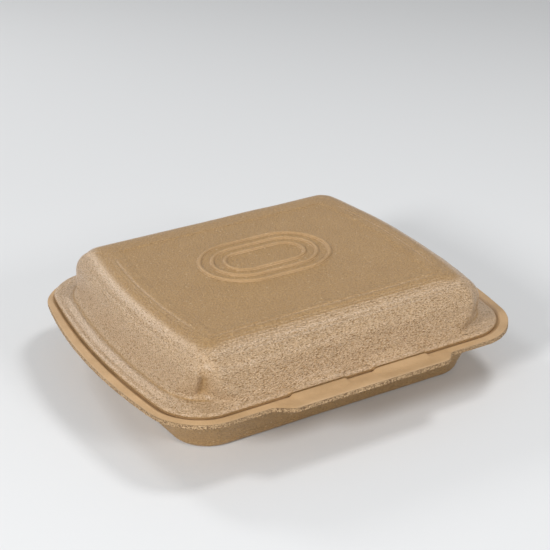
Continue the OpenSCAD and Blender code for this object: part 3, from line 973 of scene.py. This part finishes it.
tray = run_tree(tray, kit.tree, CREPE_SIZES, "tray_shell")
lid = run_tree(lid, kit.tree, CREPE_SIZES, "lid_shell")
print("crepe raised on", len(tray.data.vertices) + len(lid.data.vertices), "points")

# %% [markdown]
# ## Cutting and joining closed pieces
#
# The dividers rise out of the floor, and the slots go through the ledge. Both are made as closed
# bars and joined or cut with the Boolean modifier, whose MANIFOLD solver is fast on closed meshes
# and leaves one closed skin, as on the real box where everything is the same sheet.

# %% Joining helpers
def combine(piece, other, operation, name):
    """Join a closed piece with another, or cut it away, and remove the other."""
    modifier = piece.modifiers.new("combine", "BOOLEAN")
    modifier.operation = operation
    modifier.solver = "MANIFOLD"
    modifier.object = other
    result = plain_mesh(piece, name)
    bpy.data.objects.remove(other)
    return result


def stack_of_loops(name, loops, marks):
    """A closed mesh over loops that all have the same number of points, closed by flat ends."""
    loops = np.array(loops)
    count, size = loops.shape[:2]
    faces = [list(range(size))[::-1], list(range((count - 1) * size, count * size))]
    for k in range(count - 1):
        for i in range(size):
            j = (i + 1) % size
            faces.append([k * size + i, k * size + j, (k + 1) * size + j, (k + 1) * size + i])
    values = {key: np.full(count * size, value) for key, value in marks.items()}
    piece = build_mesh(name, loops.reshape(-1, 3), faces, values)
    work = bmesh.new()
    work.from_mesh(piece.data)
    bmesh.ops.recalc_face_normals(work, faces=work.faces)
    work.to_mesh(piece.data)
    work.free()
    return piece


print("tray:", len(tray.data.polygons), "faces before its dividers")

# %% Bars with straight or round ends
END_STEPS, BAR_STEPS = 13, 58


def bar_loop(start, end, width, z, lengthwise, round_ends):
    """A loop round a bar that runs along X, or along Y where lengthwise is false."""
    half = width / 2
    turns = np.radians(np.linspace(-90, 90, END_STEPS))
    reach = half * np.cos(turns) if round_ends else 0 * turns
    steps = np.linspace(0, 1, BAR_STEPS + 2)[1:-1]
    right = np.c_[end + reach, half * np.sin(turns)]
    left = np.c_[start - reach, -half * np.sin(turns)]
    top = np.c_[mix(end, start, steps), np.full(BAR_STEPS, half)]
    low = np.c_[mix(start, end, steps), np.full(BAR_STEPS, -half)]
    loop = np.vstack([right, top, left, low])
    if not lengthwise:
        loop = np.c_[-loop[:, 1], loop[:, 0]]
    return np.c_[loop, np.full(len(loop), z)]


print("points round a bar:", len(bar_loop(0, 1, 1, 0, True, True)))

# %% The section of a divider
DIVIDER_HEIGHT, DIVIDER_WIDTH, DIVIDER_FLARE, DIVIDER_BACK = 19, 11, 11, 12
FOOT_SHARE, TOP_SHARE, CROWN_FROM, CROWN_LEAST, FLARE_POWER = 1.15, 0.85, 0.8, 0.04, 5
LOW_STEPS = (0, 0.03, 0.06, 0.1, 0.15, 0.21, 0.28, 0.36, 0.46)
HIGH_STEPS = (0.58, 0.7, 0.8, 0.86, 0.91, 0.95, 0.98, 0.995, 1)


def divider_width(t, width, flare):
    """Wide where it flows into the floor, then leaning in to a rounded crown."""
    rounding = max(0, (t - CROWN_FROM) / (1 - CROWN_FROM))
    crown = math.sqrt(max(CROWN_LEAST, 1 - rounding**2))
    return width * mix(FOOT_SHARE, TOP_SHARE, t) * crown + flare * (1 - t) ** FLARE_POWER


def divider_bar(name, width, flare, base, reach_of, lengthwise, round_ends):
    """A bar whose width follows its height and whose ends follow reach_of(height)."""
    loops = []
    for t in LOW_STEPS + HIGH_STEPS:
        z = base + DIVIDER_HEIGHT * t
        start, end = reach_of(z)
        loop = bar_loop(start, end, divider_width(t, width, flare), z, lengthwise, round_ends)
        loop[:, 1] += DIVIDER_BACK if lengthwise else 0
        loops.append(loop)
    return stack_of_loops(name, loops, WALL)


foot = divider_width(0, DIVIDER_WIDTH, DIVIDER_FLARE)
print("a divider is", round(foot, 1), "mm wide at its foot")

# %% Dividers on the floor, and the grooves beneath them
OVERLAP, GROOVE_EASE, GROOVE_END = 0.05, 1, 9


def into_side_walls(z):
    """Where the long divider ends: half the sheet deep in each side wall."""
    side = inner_shape(max(z, FLOOR_TOP))[0] + SHEET / 2
    return -side, side


def into_back_wall(z):
    """Where the cross divider runs: from the long one into the back wall."""
    return DIVIDER_BACK, inner_shape(max(z, FLOOR_TOP))[2] + SHEET / 2


for lengthwise, reach_of in ((True, into_side_walls), (False, into_back_wall)):
    bar = divider_bar("divider", DIVIDER_WIDTH, DIVIDER_FLARE, SHEET - OVERLAP, reach_of, lengthwise, False)
    tray = combine(tray, bar, "UNION", "tray_shell")
groove_reach = {
    True: lambda z: (GROOVE_END - FLOOR[0], FLOOR[0] - GROOVE_END),
    False: lambda z: (DIVIDER_BACK, FLOOR[2] - GROOVE_END),
}
groove_width = DIVIDER_WIDTH - 2 * SHEET + GROOVE_EASE
for lengthwise, reach_of in groove_reach.items():
    bar = divider_bar(
        "groove", groove_width, DIVIDER_FLARE - GROOVE_EASE, -OVERLAP, reach_of, lengthwise, True)
    tray = combine(tray, bar, "DIFFERENCE", "tray_shell")
print("tray with dividers:", len(tray.data.polygons), "faces")

# %% [markdown]
# ## Slots and tongues
#
# Two tongues hang from the lid's front edge and push down into slots in the ledge. A tongue is a
# plate with rounded lower corners. A slot is cut with the same plate, made larger by the clearance.

# %% Tongues and their slots
TONGUE_ROUND, TONGUE_INSET, TONGUE_INTO, SLOT_PAST = 4, 0.2, 1, 6
TONGUE_FRONT = LEDGE_RIM[1] - LID_GAP - TONGUE_INSET
ROUND_STEPS, PLATE_STEPS = 9, 30


def plate_loop(half, low, high, y):
    """The outline of a hanging plate with two rounded lower corners."""
    turns = np.radians(np.linspace(0, 90, ROUND_STEPS))
    middle, centre = half - TONGUE_ROUND, low + TONGUE_ROUND
    right = np.c_[middle + TONGUE_ROUND * np.sin(turns), centre - TONGUE_ROUND * np.cos(turns)]
    left = np.c_[-right[::-1, 0], right[::-1, 1]]
    steps = np.linspace(-1, 1, PLATE_STEPS)
    base = np.c_[steps * middle, np.full(PLATE_STEPS, low)][1:-1]
    top = np.c_[-steps * half, np.full(PLATE_STEPS, high)]
    loop = np.vstack([base, right, top, left])
    return np.c_[loop[:, 0], np.full(len(loop), y), loop[:, 1]]


def tongue_plate(name, middle, clearance, low, high):
    """A plate as thick as the sheet, with a clearance all round."""
    loops = []
    for depth in (-clearance, SHEET + clearance):
        loop = plate_loop(TONGUE_WIDTH / 2 + clearance, low, high, depth - TONGUE_FRONT)
        loop[:, 0] += middle
        loops.append(loop)
    return stack_of_loops(name, loops, SMOOTH)


for side in (-1, 1):
    middle = side * TONGUE_OFFSET
    slot = tongue_plate("slot", middle, TONGUE_GAP, LEDGE_UNDER - SLOT_PAST, LEDGE + RIM_RISE + SLOT_PAST)
    tray = combine(tray, slot, "DIFFERENCE", "tray_shell")
    tongue = tongue_plate("tongue", middle, 0, FLANGE_UNDER - TONGUE_DROP, FLANGE_UNDER + TONGUE_INTO)
    lid = combine(lid, tongue, "UNION", "lid_shell")
print("tray with slots:", len(tray.data.polygons), "faces")
print("lid with tongues:", len(lid.data.polygons), "faces")

# %% [markdown]
# ## Raised lines on the top panel
#
# The press leaves three oval lines standing on the panel. They repeat one rule, so a Geometry Nodes
# tree makes them: an oval curve for each line, each smaller by one pitch, swept with a low arch.

# %% The tree of oval lines
LINE_SIZES = {"Length": 80 * MM, "Depth": 54 * MM, "Pitch": 7.5 * MM, "Width": 2.6 * MM, "Height": 0.7 * MM}
LINE_SINK, LINE_COUNT, LINE_CREPE = 0.5 * MM, 3, 0.2
ROUND_POINTS, ROUND_SHARE, ARCH_POINTS = 64, 0.4999, 16


def oval_line(kit, size_of, number):
    """One oval of the set, swept with a low arch that is sunk a little into the panel."""
    length = size_of["Length"] - 2 * number * size_of["Pitch"]
    depth = size_of["Depth"] - 2 * number * size_of["Pitch"]
    box = kit.add("GeometryNodeCurvePrimitiveQuadrilateral", {"mode": "RECTANGLE"}, {
        "Width": length, "Height": depth})
    oval = kit.add("GeometryNodeFilletCurve", {"mode": "POLY"}, {
        "Curve": box.outputs[0], "Radius": depth * ROUND_SHARE, "Count": ROUND_POINTS, "Limit Radius": True})
    circle = kit.add("GeometryNodeCurvePrimitiveCircle", {"mode": "RADIUS"}, {
        "Resolution": ARCH_POINTS, "Radius": 1.0})
    squeeze = kit.add("ShaderNodeCombineXYZ", None, {
        "X": size_of["Width"] / 2, "Y": size_of["Height"] + LINE_SINK, "Z": 1.0})
    arch = kit.add("GeometryNodeTransform", None, {
        "Geometry": circle.outputs[0], "Scale": squeeze.outputs[0]})
    swept = kit.add("GeometryNodeCurveToMesh", None, {
        "Curve": oval.outputs[0], "Profile Curve": arch.outputs[0]})
    return swept.outputs[0]


kit, _, result, size_of = geometry_tree("raised_lines", LINE_SIZES)
lines = [oval_line(kit, size_of, number) for number in range(LINE_COUNT)]
joined = kit.add("GeometryNodeJoinGeometry")
for line in reversed(lines):
    kit.tree.links.new(line, joined.inputs[0])
smoothed = kit.add("GeometryNodeSetShadeSmooth", None, {"Geometry": joined.outputs[0]})
marked = kit.add("GeometryNodeStoreNamedAttribute", {"data_type": "FLOAT", "domain": "POINT"}, {
    "Geometry": smoothed.outputs[0], "Name": "crepe", "Value": LINE_CREPE})
finish_tree(kit, marked.outputs[0], result, foam)
print("tree of oval lines:", len(kit.tree.nodes), "nodes")

# %% Lay the lines on the panel
RELIEF_BACK = 8
blank = bpy.data.objects.new("lines_blank", bpy.data.meshes.new("lines_blank"))
bpy.context.scene.collection.objects.link(blank)
lines_piece = run_tree(blank, kit.tree, LINE_SIZES, "raised_lines")
lines_piece.data.transform(Matrix.Translation((0, RELIEF_BACK * MM, (CLOSED_HEIGHT * MM) - LINE_SINK)))
print("raised lines:", len(lines_piece.data.polygons), "faces, box",
      [round(v / MM, 1) for v in lines_piece.dimensions])
lid = combine(lid, lines_piece, "UNION", "lid_shell")
print("lid with lines:", len(lid.data.polygons), "faces")

# %% [markdown]
# ## The fold
#
# Along the back the sheet is pressed to half its thickness, so that it bends like a hinge. The strip
# joins the tray's back edge to the lid's, and it has many short faces round the bend.

# %% A thin strip round the back edges
FOLD_LENGTH = TRAY_LENGTH - 2 * (RIM_RADIUS + RIM_SWELL)
FOLD_STATIONS, FOLD_STEPS = 160, 24
FOLD_INNER = REST_GAP / 2
FOLD_OUTER = FOLD_INNER + FOLD_SHEET
PUCKER, PUCKER_SPREAD, PUCKER_SEED = 0.12, 9, 5


def fold_loop(x, slack):
    """A section of the strip: two legs and a bend, whose outline puckers by the slack."""
    turns = np.radians(np.linspace(-90, 90, FOLD_STEPS + 1))
    loop = [(x, BACK_EDGE, FOLD_Z - FOLD_OUTER)]
    for radius, swept in ((FOLD_OUTER, turns), (FOLD_INNER, turns[::-1])):
        for turn in swept:
            reach = (radius + slack * math.cos(turn)) * math.cos(turn)
            loop.append((x, FOLD_Y + reach, FOLD_Z + radius * math.sin(turn)))
        if radius == FOLD_OUTER:
            loop += [(x, BACK_EDGE, FOLD_Z + FOLD_OUTER), (x, BACK_EDGE, FOLD_Z + FOLD_INNER)]
    return loop + [(x, BACK_EDGE, FOLD_Z - FOLD_INNER)]


def fold_strip():
    """The sections joined into a closed strip, with a gentle random pucker."""
    rng = np.random.default_rng(PUCKER_SEED)
    slacks = rng.uniform(-PUCKER, 0, FOLD_STATIONS + PUCKER_SPREAD - 1)
    pucker = np.convolve(slacks, np.ones(PUCKER_SPREAD) / PUCKER_SPREAD, "valid")
    stations = np.linspace(-FOLD_LENGTH / 2, FOLD_LENGTH / 2, FOLD_STATIONS)
    return stack_of_loops("fold_strip", [fold_loop(x, slack) for x, slack in zip(stations, pucker)], SMOOTH)


fold = fold_strip()
print("fold strip:", FOLD_LENGTH, "mm long,", len(fold.data.polygons), "faces")

# %% [markdown]
# ## Which piece follows which body
#
# The tray and the lid each stand for a solid of the frame and ride on that solid's body, so the box opens.
# The fold strip rides on no body.

# %% Finishes and bodies
for piece, finish in ((tray, foam), (lid, foam), (fold, pressed_foam)):
    piece.data.materials.clear()
    piece.data.materials.append(finish)
    piece.data.polygons.foreach_set("material_index", np.zeros(len(piece.data.polygons), np.int32))
    piece.data.polygons.foreach_set("use_smooth", np.ones(len(piece.data.polygons), bool))
    corners = sum(len(face.vertices) - 2 for face in piece.data.polygons)
    print(piece.name, corners, "triangles")
for piece, node in ((tray, "tray"), (lid, "lid")):
    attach(piece, node)
    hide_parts(node)
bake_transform(fold)
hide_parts("hinge_fold")

# %% [markdown]
# ## Table, light and camera
#
# The box stands on a plain pale table. Four soft round lamps light it, because each form needs its
# own: a main one on the left, a weaker one in front, one above that draws the bright line along the
# front shoulder, and one behind for the line along the left shoulder. The world looks pale to the
# camera and in reflections, and lights the box only a little. The camera's place, axes and lens were
# fitted to the outlines of the rim, the lid and the panel.

# %% Table
bpy.ops.mesh.primitive_plane_add(size=8)
table = bpy.context.object
table.name = "table"
table_finish = Finish("table", {"Roughness": 0.8, "Base Color": colour(0.70, 0.71, 0.72)})
table.data.materials.append(table_finish.material)
print("table", table.dimensions.x, "m wide")

# %% Lamps: each one's place in metres and its power in watts
LAMP_SIZE, LAMP_AIM = 0.32, (0, 0, 0.03)
LAMPS = {
    "key": ((-1.1, -0.5, 0.66), 12.6),
    "front": ((0.35, -1.15, 0.6), 5.4),
    "top": ((0.51, -0.02, 1.07), 4.0),
    "behind": ((-0.3, 1.1, 0.75), 4.4),
}
for name, (place, power) in LAMPS.items():
    data = bpy.data.lights.new(name, "AREA")
    data.shape, data.size, data.energy = "DISK", LAMP_SIZE, power
    lamp = bpy.data.objects.new(name, data)
    bpy.context.scene.collection.objects.link(lamp)
    lamp.location = place
    lamp.rotation_euler = (Vector(LAMP_AIM) - Vector(place)).to_track_quat("-Z", "Y").to_euler()
print("lamps:", list(LAMPS))

# %% World
SKY_LIGHT, SKY_SEEN = 0.3, 0.62
world = bpy.data.worlds.new("studio")
bpy.context.scene.world = world
world.use_nodes = True
world.node_tree.nodes.clear()
sky = Tree(world.node_tree)
ray = sky.add("ShaderNodeLightPath")
seen = Term(sky, ray.outputs["Is Camera Ray"]) + Term(sky, ray.outputs["Is Glossy Ray"])
seen = (seen + Term(sky, ray.outputs["Is Transmission Ray"])).least(1.0)
glow = sky.add("ShaderNodeBackground", None, {
    "Color": colour(1, 1, 1), "Strength": seen * (SKY_SEEN - SKY_LIGHT) + SKY_LIGHT})
sky.add("ShaderNodeOutputWorld", None, {"Surface": glow.outputs[0]})
print("world seen at", SKY_SEEN, "and lighting at", SKY_LIGHT)

# %% Camera: its place, its axes, its lens in millimetres and its shift
CAMERA_PLACE = (-0.3365, -0.6134, 0.3871)
RIGHT = Vector((0.8701, -0.4925, -0.0209))
UP = Vector((0.2329, 0.3734, 0.8980))
FORWARD = Vector((0.4344, 0.7862, -0.4395))
LENS, SENSOR, SHIFT = 86.41, 36, (-0.0012, 0.0243)
camera_data = bpy.data.cameras.new("camera")
camera_data.lens, camera_data.sensor_width = LENS, SENSOR
camera_data.shift_x, camera_data.shift_y = SHIFT
camera = bpy.data.objects.new("camera", camera_data)
bpy.context.scene.collection.objects.link(camera)
turned = Matrix((RIGHT, UP, -FORWARD)).transposed().to_4x4()
camera.matrix_world = Matrix.Translation(CAMERA_PLACE) @ turned
bpy.context.scene.camera = camera
bpy.context.scene.view_settings.view_transform = "Standard"
print("camera", round(Vector(CAMERA_PLACE).length, 3), "m away")
